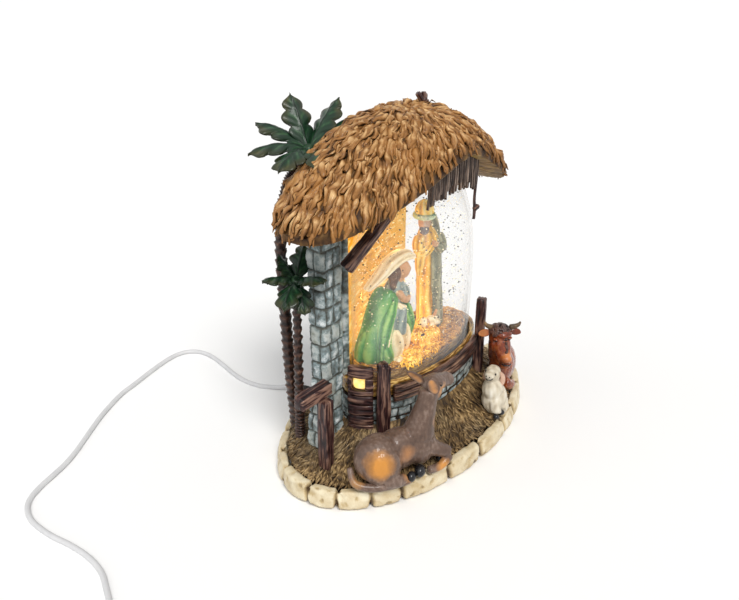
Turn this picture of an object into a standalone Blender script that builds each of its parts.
"""Lighted nativity scene: a water-filled dome between stone, timber and thatch, on an oval cast base.

Units are metres, +Z up. The origin is at the middle of the base, on the surface it stands on.
+X is to the right seen from the front, and the front faces -Y.
"""

import math

import bmesh
import bpy
from mathutils import Matrix, Vector

# Clearances
GAP = 0.0003
RUNNING = 0.0006

# Base: the outer oval, the border of stones and the hollow ground casting inside it
BASE_LENGTH = 0.262
BASE_DEPTH = 0.156
BORDER_WIDTH = 0.0105
BORDER_HEIGHT = 0.0175
BORDER_STONES = 22
GROUND_EDGE_Z = 0.0150
GROUND_RISE_REAR = 0.0150
GROUND_WALL = 0.0040
PLINTH_FOOT_Z = 0.0370
PLINTH_TOP_Z = 0.0580
GROUND_FACETS = 32

# Underside: feet, cover plate, its screws, and the battery door in it
FOOT_THICK = 0.0012
FOOT_RADIUS = 0.0070
FOOT_INSET = 0.0125
FOOT_ANGLE = 33.4
COVER_THICK = 0.0030
SCREW_HEAD_RADIUS = 0.0026
SCREW_SHANK_RADIUS = 0.0014
SCREW_LENGTH = 0.0080
SCREW_INSET = 0.0071
SCREW_ANGLE = 51.6
CELL_RADIUS = 0.0072
CELL_LENGTH = 0.0500
CELL_COUNT = 3
CELL_PITCH = 0.0150
BOX_WALL = 0.0016
BATTERY_X = 0.0500
DOOR_THICK = 0.0022
HINGE_INSET = 0.0013
TRUNNION_RADIUS = 0.0007
TRUNNION_LENGTH = 0.0012
DOOR_SWING = math.radians(85)

# Switch in the cover plate
SWITCH_X = -0.0250
SWITCH_Y = -0.0220
SWITCH_LENGTH = 0.0150
SWITCH_WIDTH = 0.0070
SWITCH_HEIGHT = 0.0060
KNOB_LENGTH = 0.0040
KNOB_WIDTH = 0.0030
SWITCH_TRAVEL = 0.0050

# Circuit board
BOARD_X = -0.0500
BOARD_LENGTH = 0.0420
BOARD_WIDTH = 0.0280
BOARD_THICK = 0.0016
BOARD_Z = 0.0140
STANDOFF_RADIUS = 0.0025

# Water tank
TANK_X = 0.0040
TANK_LENGTH = 0.1360
TANK_DEPTH = 0.0660
TANK_WALL = 0.0022
TANK_WIDEST_Z = 0.1200
TANK_TOP_Z = 0.2180
TANK_FOOT_SHARE = 0.965
DOME_POWER = 2.3
TANK_FACETS = 32
FLANGE_THICK = 0.0030
FLANGE_REACH = 0.0020
GASKET_THICK = 0.0015
GASKET_HEIGHT = 0.0030
CHAMBER_DEPTH = 0.0060
CHAMBER_WALL = 0.0025
STRAW_FLOOR_THICK = 0.0035
STRAW_FLOOR_RISE = 0.0015

# Stirring drive and lamp under the tank
DRIVE_X = 0.0200
MAGNET_RADIUS = 0.0110
MAGNET_THICK = 0.0030
SHAFT_RADIUS = 0.0010
MOTOR_RADIUS = 0.0120
MOTOR_HEIGHT = 0.0200
BRACKET_THICK = 0.0030
IMPELLER_RADIUS = 0.0130
IMPELLER_BLADES = 4
IMPELLER_HEIGHT = 0.0038
PIVOT_RADIUS = 0.0012
LAMP_X = -0.0280
LENS_RADIUS = 0.0050
LENS_HEIGHT = 0.0060
LAMP_BOARD_RADIUS = 0.0095
LAMP_BOARD_THICK = 0.0016

# Sill round the tank, rail, fence and posts
SILL_WIDTH = 0.0088
SILL_HEIGHT = 0.0110
RAIL_THICK = 0.0040
RAIL_HEIGHT = 0.0130
RAIL_TOP_Z = 0.0680
RAIL_START = 221.5
RAIL_END = 303.5
FENCE_THICK = 0.0042
FENCE_TOP_Z = 0.0860
FENCE_START = 180
FENCE_END = 205.5
FENCE_WINDOW_Z = 0.0680
FENCE_WINDOW_HEIGHT = 0.0085
FENCE_WINDOW_WIDTH = 0.0095
POST_SIDE = 0.0100
FAR_POST_SIDE = 0.0080
NEAR_POST_ANGLE = 214
NEAR_POST_TOP_Z = 0.0905
FAR_POST_ANGLE = 308
FAR_POST_TOP_Z = 0.0980
END_POST_X = -0.1060
END_POST_Y = -0.0040
END_POST_SIDE = 0.0092
END_RAIL_LENGTH = 0.0300
END_RAIL_WIDTH = 0.0090
END_RAIL_HEIGHT = 0.0100
END_RAIL_TOP_Z = 0.0840

# Stonework
PILLAR_LEFT_X = -0.0970
PILLAR_RIGHT_X = -0.0752
PILLAR_FRONT_Y = 0.0030
PILLAR_BACK_Y = 0.0180
PILLAR_FLARE = 0.0050
WALL_THICK = 0.0060
WALL_START = 165
WALL_END = 62

# Roof
ROOF_X = -0.0120
ROOF_HALF_LENGTH = 0.1150
ROOF_HALF_DEPTH = 0.0420
ROOF_POWER = 2.6
ROOF_FACETS = 60
TUFT_TIERS = (0.92, 0.77, 0.61, 0.44, 0.26)
TUFT_RISE = 0.0024
TUFT_STAGGER = 0.035
TUFT_FOOT = 0.022
EAVE_FRINGE = 0.0016
EAVE_PEAK_X = 0.0100
EAVE_PEAK_Z = 0.2240
EAVE_SLOPE_LEFT = 0.255
EAVE_SLOPE_RIGHT = 0.50
EAVE_THICK = 0.0030
RIDGE_X = -0.0050
RIDGE_Z = 0.2520
RIDGE_DROP_LEFT = 0.0600
RIDGE_DROP_RIGHT = 0.0780
RIDGE_POWER_LEFT = 3.0
RIDGE_POWER_RIGHT = 2.0
CEILING_SAG = 0.0080
ROOF_OVERLAP = 0.0015
PLANK_THICK = 0.0030
PLANK_Y = -0.0340
PLANK_LEFT_X = -0.0320
PLANK_RIGHT_X = 0.0300
PLANK_COUNT = 13
PLANK_DROP = 0.0180
BRACE_FOOT_Z = 0.1610
BRACE_RADIUS_LOW = 0.0060
BRACE_RADIUS_HIGH = 0.0040
FINIAL_X = 0.0100
FINIAL_HEIGHT = 0.0118
FINIAL_RADIUS = 0.0026
TWIG_RADIUS = 0.0012
TWIG_LENGTH = 0.0420
TWIG_SHARE_X = 0.625
TWIG_SHARE_Y = 0.742

# Palms
TALL_PALM_AXIS = (
    (-0.0850, 0.0430, 0.0100),
    (-0.0885, 0.0435, 0.0650),
    (-0.0905, 0.0440, 0.1200),
    (-0.0895, 0.0455, 0.1780),
    (-0.0820, 0.0455, 0.2060),
    (-0.0770, 0.0405, 0.2190),
    (-0.0725, 0.0330, 0.2280),
)
SHORT_PALM_AXIS = (
    (-0.0965, 0.0290, 0.0100),
    (-0.0975, 0.0275, 0.0600),
    (-0.1015, 0.0220, 0.1480),
)
TRUNK_RADIUS = 0.0042
SHORT_TRUNK_RADIUS = 0.0034
TRUNK_RING_PITCH = 0.0120
TRUNK_FACETS = 8
LEAF_THICK = 0.0016
LEAF_ARCH = 0.0040
TALL_LEAF_WIDTH = 0.0135
SHORT_LEAF_WIDTH = 0.0100
BUD_RADIUS = 0.0052

# Cord and its fittings
CORD_DIAMETER = 0.0038
GLAND_X = -0.0270
GLAND_Z = 0.0095
GLAND_RADIUS = 0.0045
GLAND_REACH = 0.0015
RELIEF_LENGTH = 0.0120
RELIEF_RADIUS = 0.0031
RELIEF_TIP_RADIUS = 0.0023
COIL_X = -0.2980
COIL_Y = 0.0020
COIL_INNER_RADIUS = 0.0142
COIL_PITCH = 0.0044
COIL_LAYER = 0.0044
COIL_TURNS_PER_LAYER = 3.25
COIL_POINTS_PER_TURN = 18
COIL_START = 66
PLUG_LENGTH = 0.0300
PLUG_WIDTH = 0.0140
PLUG_HEIGHT = 0.0075
PLUG_TIP_LENGTH = 0.0120

# Route of the free cord from the strain relief to its coil, chosen by hand
CORD_ROUTE = (
    (-0.0270, 0.0975, 0.0090),
    (-0.0278, 0.1040, 0.0068),
    (-0.0305, 0.1125, 0.0036),
    (-0.0345, 0.1220, 0.0020),
    (-0.0385, 0.1310, 0.0019),
    (-0.0403, 0.1430, 0.0019),
    (-0.0397, 0.1550, 0.0019),
    (-0.0366, 0.1690, 0.0019),
    (-0.0325, 0.1840, 0.0019),
    (-0.0293, 0.1980, 0.0019),
    (-0.0280, 0.2100, 0.0019),
    (-0.0300, 0.2215, 0.0019),
    (-0.0365, 0.2295, 0.0019),
    (-0.0475, 0.2328, 0.0019),
    (-0.0620, 0.2315, 0.0019),
    (-0.0800, 0.2273, 0.0019),
    (-0.1020, 0.2210, 0.0019),
    (-0.1230, 0.2150, 0.0019),
    (-0.1510, 0.2010, 0.0019),
    (-0.1790, 0.1830, 0.0019),
    (-0.1920, 0.1745, 0.0019),
    (-0.2050, 0.1675, 0.0019),
    (-0.2180, 0.1625, 0.0019),
    (-0.2320, 0.1575, 0.0019),
    (-0.2435, 0.1510, 0.0019),
    (-0.2510, 0.1410, 0.0019),
    (-0.2548, 0.1270, 0.0019),
    (-0.2545, 0.1070, 0.0019),
    (-0.2520, 0.0900, 0.0019),
    (-0.2510, 0.0720, 0.0019),
    (-0.2530, 0.0560, 0.0019),
    (-0.2580, 0.0430, 0.0019),
)

# Heights that follow from the driving dimensions
COVER_BOTTOM_Z = FOOT_THICK + GAP
COVER_TOP_Z = COVER_BOTTOM_Z + COVER_THICK
FLANGE_BOTTOM_Z = PLINTH_TOP_Z + GAP
FLANGE_TOP_Z = FLANGE_BOTTOM_Z + FLANGE_THICK
TANK_FOOT_Z = FLANGE_TOP_Z + GAP
CHAMBER_FLOOR_Z = FLANGE_TOP_Z + GASKET_HEIGHT
CHAMBER_TOP_Z = CHAMBER_FLOOR_Z + CHAMBER_DEPTH
STRAW_BOTTOM_Z = CHAMBER_TOP_Z + GAP
STRAW_TOP_Z = STRAW_BOTTOM_Z + STRAW_FLOOR_THICK
BRACKET_TOP_Z = PLINTH_TOP_Z - GROUND_WALL - GAP
BRACKET_BOTTOM_Z = BRACKET_TOP_Z - BRACKET_THICK
SILL_TOP_Z = FLANGE_BOTTOM_Z + SILL_HEIGHT
GROUND_HALF_X = BASE_LENGTH / 2 - BORDER_WIDTH - GAP
GROUND_HALF_Y = BASE_DEPTH / 2 - BORDER_WIDTH - GAP
PLINTH_HALF_X = TANK_LENGTH / 2 + SILL_WIDTH
PLINTH_HALF_Y = TANK_DEPTH / 2 + SILL_WIDTH / 4


# Scene and helpers

def clear_scene():
    """Removes every object of the startup scene."""
    for obj in list(bpy.data.objects):
        bpy.data.objects.remove(obj, do_unlink=True)


def new_collection(name):
    """A new collection linked to the scene."""
    collection = bpy.data.collections.new(name)
    bpy.context.scene.collection.children.link(collection)
    return collection


def finish(name, colour, roughness, metallic=0.0, alpha=1.0):
    """A Principled material."""
    material = bpy.data.materials.new(name)
    material.use_nodes = True
    shader = material.node_tree.nodes["Principled BSDF"]
    shader.inputs["Base Color"].default_value = (*colour, 1.0)
    shader.inputs["Roughness"].default_value = roughness
    shader.inputs["Metallic"].default_value = metallic
    shader.inputs["Alpha"].default_value = alpha
    return material


clear_scene()
PARTS = new_collection("lighted_nativity_scene")
CUTTERS = new_collection("cutters")

THATCH = finish("thatch", (0.52, 0.33, 0.13), 0.8)
STONE = finish("stone", (0.42, 0.47, 0.48), 0.8)
BORDER = finish("border_stone", (0.66, 0.60, 0.43), 0.7)
GROUND = finish("ground", (0.33, 0.24, 0.13), 0.85)
TIMBER = finish("timber", (0.13, 0.07, 0.05), 0.7)
SILL = finish("sill", (0.24, 0.17, 0.12), 0.6)
TRUNK = finish("trunk", (0.12, 0.07, 0.04), 0.7)
LEAF = finish("leaf", (0.03, 0.10, 0.05), 0.45)
DONKEY = finish("donkey_coat", (0.24, 0.17, 0.13), 0.6)
WOOL = finish("wool", (0.72, 0.68, 0.58), 0.8)
OX = finish("ox_coat", (0.20, 0.05, 0.02), 0.45)
GREEN_ROBE = finish("green_robe", (0.16, 0.42, 0.16), 0.5)
GOLD_ROBE = finish("gold_robe", (0.60, 0.40, 0.08), 0.5)
SWADDLING = finish("swaddling", (0.78, 0.68, 0.48), 0.6)
STRAW = finish("straw", (0.62, 0.38, 0.08), 0.8)
CLEAR = finish("clear_acrylic", (0.90, 0.93, 0.95), 0.05, alpha=0.25)
RUBBER = finish("rubber", (0.05, 0.05, 0.05), 0.8)
BLACK = finish("black_plastic", (0.03, 0.03, 0.03), 0.5)
BOARD = finish("circuit_board", (0.02, 0.20, 0.08), 0.5)
STEEL = finish("steel", (0.60, 0.60, 0.62), 0.3, metallic=1.0)
MAGNET = finish("magnet", (0.15, 0.15, 0.16), 0.4, metallic=1.0)
CELL = finish("cell_sleeve", (0.10, 0.25, 0.45), 0.4)
LENS = finish("lamp_lens", (1.00, 0.72, 0.30), 0.2)
CORD = finish("cord_jacket", (0.80, 0.80, 0.80), 0.5)


def add(name, mesh, material, collection=PARTS):
    """Links a mesh as a named object."""
    obj = bpy.data.objects.new(name, mesh)
    mesh.materials.clear()
    if material:
        mesh.materials.append(material)
    collection.objects.link(obj)
    return obj


def as_cutter(obj):
    """Moves an object among the cutters, where it isn't part of the model."""
    for collection in list(obj.users_collection):
        collection.objects.unlink(obj)
    CUTTERS.objects.link(obj)
    obj.hide_render = True
    obj.display_type = "WIRE"
    return obj


def from_bmesh(name, shape, material):
    """Turns a bmesh into a named object, its faces pointing out."""
    bmesh.ops.recalc_face_normals(shape, faces=shape.faces)
    mesh = bpy.data.meshes.new(name)
    shape.to_mesh(mesh)
    shape.free()
    return add(name, mesh, material)


def smooth(obj, degrees=40):
    """Shades a round piece smooth up to the given edge angle."""
    obj.data.shade_smooth()
    obj.data.set_sharp_from_angle(angle=math.radians(degrees))
    return obj


def box(name, size, centre, material, turn=0.0):
    """A block of the given size, turned about Z by turn radians."""
    shape = bmesh.new()
    bmesh.ops.create_cube(shape, size=1.0)
    place = Matrix.Translation(centre) @ Matrix.Rotation(turn, 4, "Z") @ Matrix.Diagonal((*size, 1.0))
    bmesh.ops.transform(shape, matrix=place, verts=shape.verts)
    return from_bmesh(name, shape, material)


def between(start, end):
    """The matrix that takes a piece centred on Z to the middle of start and end, along them."""
    start, end = Vector(start), Vector(end)
    turn = (end - start).to_track_quat("Z", "Y").to_matrix().to_4x4()
    return Matrix.Translation((start + end) / 2) @ turn


def bar(name, start, end, radius, end_radius, material, facets=20):
    """A round bar or cone from start to end."""
    shape = bmesh.new()
    length = (Vector(end) - Vector(start)).length
    bmesh.ops.create_cone(
        shape, cap_ends=True, segments=facets, radius1=radius, radius2=end_radius, depth=length,
        matrix=between(start, end),
    )
    return smooth(from_bmesh(name, shape, material))


def disc(name, x, y, low, high, radius, material, facets=24):
    """An upright cylinder between two heights."""
    return bar(name, (x, y, low), (x, y, high), radius, radius, material, facets)


def loft(name, rings, material, closed=False):
    """Joins rings of equally many points by quads. A closed loft returns to its first ring, and an open one is capped."""
    shape = bmesh.new()
    rows = [[shape.verts.new(point) for point in ring] for ring in rings]
    count = len(rows[0])
    pairs = list(zip(rows, rows[1:]))
    if closed:
        pairs.append((rows[-1], rows[0]))
    for lower, upper in pairs:
        for i in range(count):
            j = (i + 1) % count
            shape.faces.new((lower[i], lower[j], upper[j], upper[i]))
    if not closed:
        shape.faces.new(rows[0])
        shape.faces.new(rows[-1])
    return smooth(from_bmesh(name, shape, material))


def oval(half_x, half_y, height, centre_x=TANK_X, facets=GROUND_FACETS):
    """The points of a level ellipse."""
    angles = [2 * math.pi * i / facets for i in range(facets)]
    return [(centre_x + half_x * math.cos(a), half_y * math.sin(a), height) for a in angles]


def oval_plate(name, half_x, half_y, low, high, material, centre_x=TANK_X, facets=GROUND_FACETS):
    """A flat oval plate."""
    rings = [oval(half_x, half_y, z, centre_x, facets) for z in (low, high)]
    return loft(name, rings, material)


def bake(obj):
    """Replaces an object's mesh by its evaluated one and clears its modifiers."""
    bpy.context.view_layer.update()
    graph = bpy.context.evaluated_depsgraph_get()
    mesh = bpy.data.meshes.new_from_object(obj.evaluated_get(graph))
    obj.modifiers.clear()
    obj.data = mesh
    return obj


def boolean(obj, other, operation):
    """Adds one exact Boolean and applies it."""
    modifier = obj.modifiers.new(operation.lower(), "BOOLEAN")
    modifier.operation = operation
    modifier.solver = "EXACT"
    modifier.use_self = operation == "UNION"
    modifier.object = other
    return bake(obj)


def cut(obj, *cutters, keep=False):
    """Cuts each cutter out of the object. The cutters are removed, unless they are kept for another cut."""
    for cutter in cutters:
        boolean(obj, as_cutter(cutter), "DIFFERENCE")
        if not keep:
            bpy.data.objects.remove(cutter, do_unlink=True)
    return obj


def join(obj, *others):
    """Joins solids that overlap into one body."""
    for other in others:
        boolean(obj, other, "UNION")
        bpy.data.objects.remove(other, do_unlink=True)
    return obj


def fill_hollows(obj):
    """Keeps the outer skin alone: a hollow closed in by the forms that were joined becomes solid."""
    shape = bmesh.new()
    shape.from_mesh(obj.data)
    left = set(shape.verts)
    skins = []
    while left:
        skin, edge = set(), [left.pop()]
        while edge:
            vert = edge.pop()
            skin.add(vert)
            found = {link.other_vert(vert) for link in vert.link_edges} & left
            left -= found
            edge.extend(found)
        skins.append(skin)
    outer = max(skins, key=len)
    inner = [vert for skin in skins if skin is not outer for vert in skin]
    bmesh.ops.delete(shape, geom=inner, context="VERTS")
    shape.to_mesh(obj.data)
    shape.free()
    return obj


# Shapes that several pieces share

def oval_point(half_x, half_y, degrees, centre_x=TANK_X):
    """A point on an ellipse at the given angle, counted from +X towards +Y."""
    a = math.radians(degrees)
    return centre_x + half_x * math.cos(a), half_y * math.sin(a)


def tank_share(z):
    """The tank's width at a height, as a share of its widest."""
    if z <= TANK_WIDEST_Z:
        low = (TANK_WIDEST_Z - z) / (TANK_WIDEST_Z - TANK_FOOT_Z)
        return 1 - (1 - TANK_FOOT_SHARE) * low * low
    high = min(1.0, (z - TANK_WIDEST_Z) / (TANK_TOP_Z - TANK_WIDEST_Z))
    return (1 - high**DOME_POWER) ** (1 / DOME_POWER)


def tank_rings(offset, foot_z):
    """Rings of the dome's outline, moved outwards by offset."""
    rings = []
    heights = [foot_z, 0.085, TANK_WIDEST_Z]
    dome = TANK_TOP_Z - TANK_WIDEST_Z
    heights += [TANK_WIDEST_Z + dome * math.sin(math.radians(a)) for a in (24, 44, 60, 73, 83)]
    for z in heights:
        share = tank_share(z)
        half_x = TANK_LENGTH / 2 * share + offset
        half_y = TANK_DEPTH / 2 * share + offset
        lift = offset if z > TANK_WIDEST_Z else 0.0
        rings.append(oval(half_x, half_y, z + lift, facets=TANK_FACETS))
    return rings


def eave_z(x):
    """The height of the roof's lower edge at x."""
    away = x - EAVE_PEAK_X
    slope = EAVE_SLOPE_RIGHT if away > 0 else EAVE_SLOPE_LEFT
    return EAVE_PEAK_Z - slope * (math.hypot(away, 0.008) - 0.008)


def ridge_z(x):
    """The height of the thatch along its ridge."""
    away = x - RIDGE_X
    reach = ROOF_HALF_LENGTH + (ROOF_X - RIDGE_X) * math.copysign(1, away)
    drop = RIDGE_DROP_RIGHT if away > 0 else RIDGE_DROP_LEFT
    power = RIDGE_POWER_RIGHT if away > 0 else RIDGE_POWER_LEFT
    return RIDGE_Z - drop * min(1.0, abs(away) / reach) ** power


def roof_share(x, y):
    """How far a point lies out on the roof's plan: 0 in the middle, 1 at the edge."""
    across = abs((x - ROOF_X) / ROOF_HALF_LENGTH) ** ROOF_POWER + abs(y / ROOF_HALF_DEPTH) ** ROOF_POWER
    return across ** (1 / ROOF_POWER)


def ceiling_z(x, y):
    """The height of the roof's underside."""
    return eave_z(x) - CEILING_SAG * (1 - min(1.0, roof_share(x, y)) ** 2)


def thatch_z(x, y):
    """The height of the roof's upper surface."""
    along = min(1.0, abs((x - ROOF_X) / ROOF_HALF_LENGTH))
    half_depth = ROOF_HALF_DEPTH * max(1e-6, 1 - along**ROOF_POWER) ** (1 / ROOF_POWER)
    across = min(1.0, abs(y) / half_depth)
    rim = eave_z(x) + EAVE_THICK
    return rim + max(0.0, ridge_z(x) - rim) * (1 - across**2.2) ** 0.7


def ground_z(ring, degrees):
    """The ground's height on one of its rings, higher at the rear."""
    rear = max(0.0, math.sin(math.radians(degrees)))
    rises = (0.0, 1.0, 0.7, 0.35)
    levels = (0.0, 0.0025, 0.0090, PLINTH_FOOT_Z - GROUND_EDGE_Z)
    return GROUND_EDGE_Z + levels[ring] + rises[ring] * GROUND_RISE_REAR * rear


def ground_rings(offset):
    """Rings of the ground's upper surface from the rim inwards, moved outwards by offset."""
    spans = (
        (GROUND_HALF_X, GROUND_HALF_Y, 0.0),
        (GROUND_HALF_X - 0.007, GROUND_HALF_Y - 0.006, 0.0),
        ((GROUND_HALF_X + PLINTH_HALF_X) / 2, (GROUND_HALF_Y + PLINTH_HALF_Y) / 2, TANK_X / 2),
        (PLINTH_HALF_X + 0.001, PLINTH_HALF_Y + 0.001, TANK_X),
    )
    rings = []
    for ring, (half_x, half_y, centre_x) in enumerate(spans):
        points = []
        for i in range(GROUND_FACETS):
            degrees = 360 * i / GROUND_FACETS
            x, y = oval_point(half_x + offset, half_y + offset, degrees, centre_x)
            points.append((x, y, ground_z(ring, degrees) + offset))
        rings.append(points)
    rings.append(oval(PLINTH_HALF_X + offset, PLINTH_HALF_Y + offset, PLINTH_TOP_Z + offset))
    return rings


def ground_cutter():
    """The space that the border and the ground fill, with the clearance, to seat what stands on them."""
    edge_x, edge_y = BASE_LENGTH / 2 + GAP, BASE_DEPTH / 2 + GAP
    edge = [oval(edge_x, edge_y, z, 0.0) for z in (-0.01, BORDER_HEIGHT + GAP)]
    rings = edge + ground_rings(GAP)[1:]
    return as_cutter(loft("ground_space", rings, None))


# Base

def border_stones():
    """The border: a ring of rounded stones, sunken at each joint."""
    stations = []
    lengths = [1.0 + 0.35 * math.sin(2.3 * i) * math.cos(0.9 * i) for i in range(BORDER_STONES)]
    total = sum(lengths)
    start = 0.0
    for i, length in enumerate(lengths):
        height = BORDER_HEIGHT * (0.93 + 0.07 * math.sin(1.7 * i))
        width = 1.0 + 0.06 * math.cos(2.9 * i)
        for share, swell in ((0.0, 0.80), (0.14, 1.0), (0.48, 1.02), (0.82, 0.99)):
            stations.append((360 * (start + share * length) / total, swell, height, width))
        start += length
    outer_x, outer_y = BASE_LENGTH / 2, BASE_DEPTH / 2
    inner_x, inner_y = outer_x - BORDER_WIDTH, outer_y - BORDER_WIDTH
    rings = []
    for degrees, swell, height, width in stations:
        reach = BORDER_WIDTH * max(0.0, 1 - swell * width)
        top = min(BORDER_HEIGHT, FOOT_THICK / 2 + (height - FOOT_THICK / 2) * swell)
        section = (
            (outer_x - reach - 0.0015, outer_y - reach - 0.0015, FOOT_THICK / 2),
            (outer_x - reach, outer_y - reach, 0.40 * top),
            (outer_x - reach - 0.0014, outer_y - reach - 0.0014, 0.78 * top),
            (outer_x - reach - 0.0052, outer_y - reach - 0.0052, top),
            (inner_x, inner_y, 0.90 * top),
            (inner_x, inner_y, FOOT_THICK / 2),
        )
        rings.append([(*oval_point(a, b, degrees, 0.0), z) for a, b, z in section])
    return loft("stone_border", rings, BORDER, closed=True)


def ground_casting():
    """The hollow ground with its plinth, open below and over the drive."""
    inner_top = PLINTH_TOP_Z - GROUND_WALL
    hole_x = TANK_LENGTH / 2 - 0.011
    hole_y = TANK_DEPTH / 2 - 0.010
    outer = [oval(GROUND_HALF_X, GROUND_HALF_Y, COVER_BOTTOM_Z, 0.0)] + ground_rings(0.0)
    outer.append(oval(hole_x, hole_y, PLINTH_TOP_Z))
    inner = [oval(hole_x, hole_y, inner_top)]
    wall = GROUND_WALL
    for ring in reversed(ground_rings(0.0)):
        points = []
        for x, y, z in ring:
            centre_x = TANK_X if abs(z - PLINTH_TOP_Z) < 1e-6 or ring is not None and z > PLINTH_FOOT_Z else 0.0
            reach = math.hypot((x - centre_x), y)
            shrink = 1 - wall / reach
            points.append((centre_x + (x - centre_x) * shrink, y * shrink, min(z - wall, inner_top)))
        inner.append(points)
    inner.append([(x, y, COVER_BOTTOM_Z) for x, y, _ in inner[-1]])
    casting = loft("ground_casting", outer + inner, GROUND, closed=True)
    bosses = []
    for x, y in screw_places():
        boss = disc("boss", x, y, COVER_TOP_Z + GAP, boss_top(), 0.0042, GROUND, 12)
        bosses.append(boss)
    join(casting, *bosses)
    for x, y in screw_places():
        pilot = disc("pilot", x, y, 0.0, screw_top() + GAP, SCREW_SHANK_RADIUS + GAP, None, 12)
        cut(casting, pilot)
    return casting


def corner_places(inset, degrees):
    """Four places in plan, in from the ground's edge, at an angle from the long axis."""
    half_x, half_y = oval_point(GROUND_HALF_X - inset, GROUND_HALF_Y - inset, degrees, 0.0)
    return [(x, y) for x in (-half_x, half_x) for y in (-half_y, half_y)]


def screw_places():
    """The cover screws' places in plan."""
    return corner_places(SCREW_INSET, SCREW_ANGLE)


def screw_seat_z():
    """The floor of the counterbore in the cover."""
    return COVER_BOTTOM_Z + COVER_THICK / 2


def screw_top():
    """The tip of a cover screw."""
    return screw_seat_z() + SCREW_LENGTH


def boss_top():
    """The top of a screw boss, inside the ground's wall."""
    return GROUND_EDGE_Z


def cover_plate():
    """The bottom cover with its counterbored screw holes, door opening and switch slot."""
    half_x = GROUND_HALF_X - GROUND_WALL - 2 * GAP
    half_y = GROUND_HALF_Y - GROUND_WALL - 2 * GAP
    cover = oval_plate("bottom_cover", half_x, half_y, COVER_BOTTOM_Z, COVER_TOP_Z, BLACK, 0.0)
    for x, y in screw_places():
        cut(cover, disc("hole", x, y, 0.0, 0.02, SCREW_SHANK_RADIUS + GAP, None, 12))
        cut(cover, disc("head", x, y, 0.0, screw_seat_z(), SCREW_HEAD_RADIUS + GAP, None, 16))
    length, width = door_size()
    opening = box("opening", (length + 2 * RUNNING, width + 2 * RUNNING, 0.02), (BATTERY_X, 0, 0), None)
    cut(cover, opening)
    pin_reach = width + 2 * TRUNNION_LENGTH + 2 * GAP
    socket = bar(
        "socket", (hinge_x(), -pin_reach / 2, hinge_z()), (hinge_x(), pin_reach / 2, hinge_z()),
        TRUNNION_RADIUS + GAP, TRUNNION_RADIUS + GAP, None, 12,
    )
    cut(cover, socket)
    slot = box("slot", slot_size(0.02), (slot_x(), SWITCH_Y, 0.0), None)
    cut(cover, slot)
    for x in standoff_x():
        join(cover, disc("standoff", x, 0.0, COVER_TOP_Z - 0.001, BOARD_Z - GAP, STANDOFF_RADIUS, BLACK, 12))
    return cover


def standoff_x():
    """Where the board's two standoffs are."""
    return BOARD_X - BOARD_LENGTH / 2 + 0.005, BOARD_X + BOARD_LENGTH / 2 - 0.005


def door_size():
    """The battery door's length along X and width along Y."""
    return CELL_LENGTH + 0.004, CELL_COUNT * CELL_PITCH + 0.001


def hinge_x():
    """The door hinge's place along X."""
    return BATTERY_X - door_size()[0] / 2 + HINGE_INSET


def hinge_z():
    """The door hinge's height, in the middle of the door's thickness."""
    return COVER_BOTTOM_Z + GAP + DOOR_THICK / 2


def battery_parts():
    """The battery box, its cells and the door that swings down on two trunnions."""
    length, width = door_size()
    low = COVER_TOP_Z + GAP
    depth = 2 * CELL_RADIUS + 3 * GAP
    outer = (length + 2 * BOX_WALL, width + 2 * BOX_WALL, depth + BOX_WALL)
    tray = box("battery_box", outer, (BATTERY_X, 0, low + outer[2] / 2), BLACK)
    pocket = box("pocket", (length, width, 2 * depth), (BATTERY_X, 0, low), None)
    cut(tray, pocket)
    cell_z = low + CELL_RADIUS + GAP
    for i in range(CELL_COUNT):
        y = (i - (CELL_COUNT - 1) / 2) * CELL_PITCH
        start = BATTERY_X - CELL_LENGTH / 2
        cell = bar(
            f"battery_cell_{i + 1}", (start, y, cell_z), (start + CELL_LENGTH - 0.0012, y, cell_z),
            CELL_RADIUS, CELL_RADIUS, CELL, 20,
        )
        nub_end = BATTERY_X + CELL_LENGTH / 2
        nub = bar("nub", (nub_end - 0.004, y, cell_z), (nub_end, y, cell_z), 0.0026, 0.0026, CELL, 12)
        join(cell, nub)
    door = box("battery_door", (length, width, DOOR_THICK), (BATTERY_X, 0, hinge_z()), BLACK)
    reach = width / 2 + TRUNNION_LENGTH
    trunnion = bar(
        "trunnion", (hinge_x(), -reach, hinge_z()), (hinge_x(), reach, hinge_z()),
        TRUNNION_RADIUS, TRUNNION_RADIUS, BLACK, 12,
    )
    join(door, trunnion)


def slot_x():
    """The middle of the switch's slot."""
    return SWITCH_X + SWITCH_TRAVEL / 2


def slot_size(height):
    """The slot that the switch's knob runs in."""
    return KNOB_LENGTH + SWITCH_TRAVEL + 2 * RUNNING, KNOB_WIDTH + 2 * GAP, height


def switch_parts():
    """The three-position switch: its body on the cover and the knob that slides."""
    low = COVER_TOP_Z + GAP
    body = box(
        "switch_body", (SWITCH_LENGTH, SWITCH_WIDTH, SWITCH_HEIGHT),
        (slot_x(), SWITCH_Y, low + SWITCH_HEIGHT / 2), BLACK,
    )
    track_depth = SWITCH_HEIGHT / 2
    cut(body, box("track", slot_size(2 * track_depth), (slot_x(), SWITCH_Y, low), None))
    knob_low = FOOT_THICK / 2
    knob_high = low + track_depth - GAP
    box(
        "switch_knob", (KNOB_LENGTH, KNOB_WIDTH, knob_high - knob_low),
        (SWITCH_X, SWITCH_Y, (knob_low + knob_high) / 2), RUBBER,
    )


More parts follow.
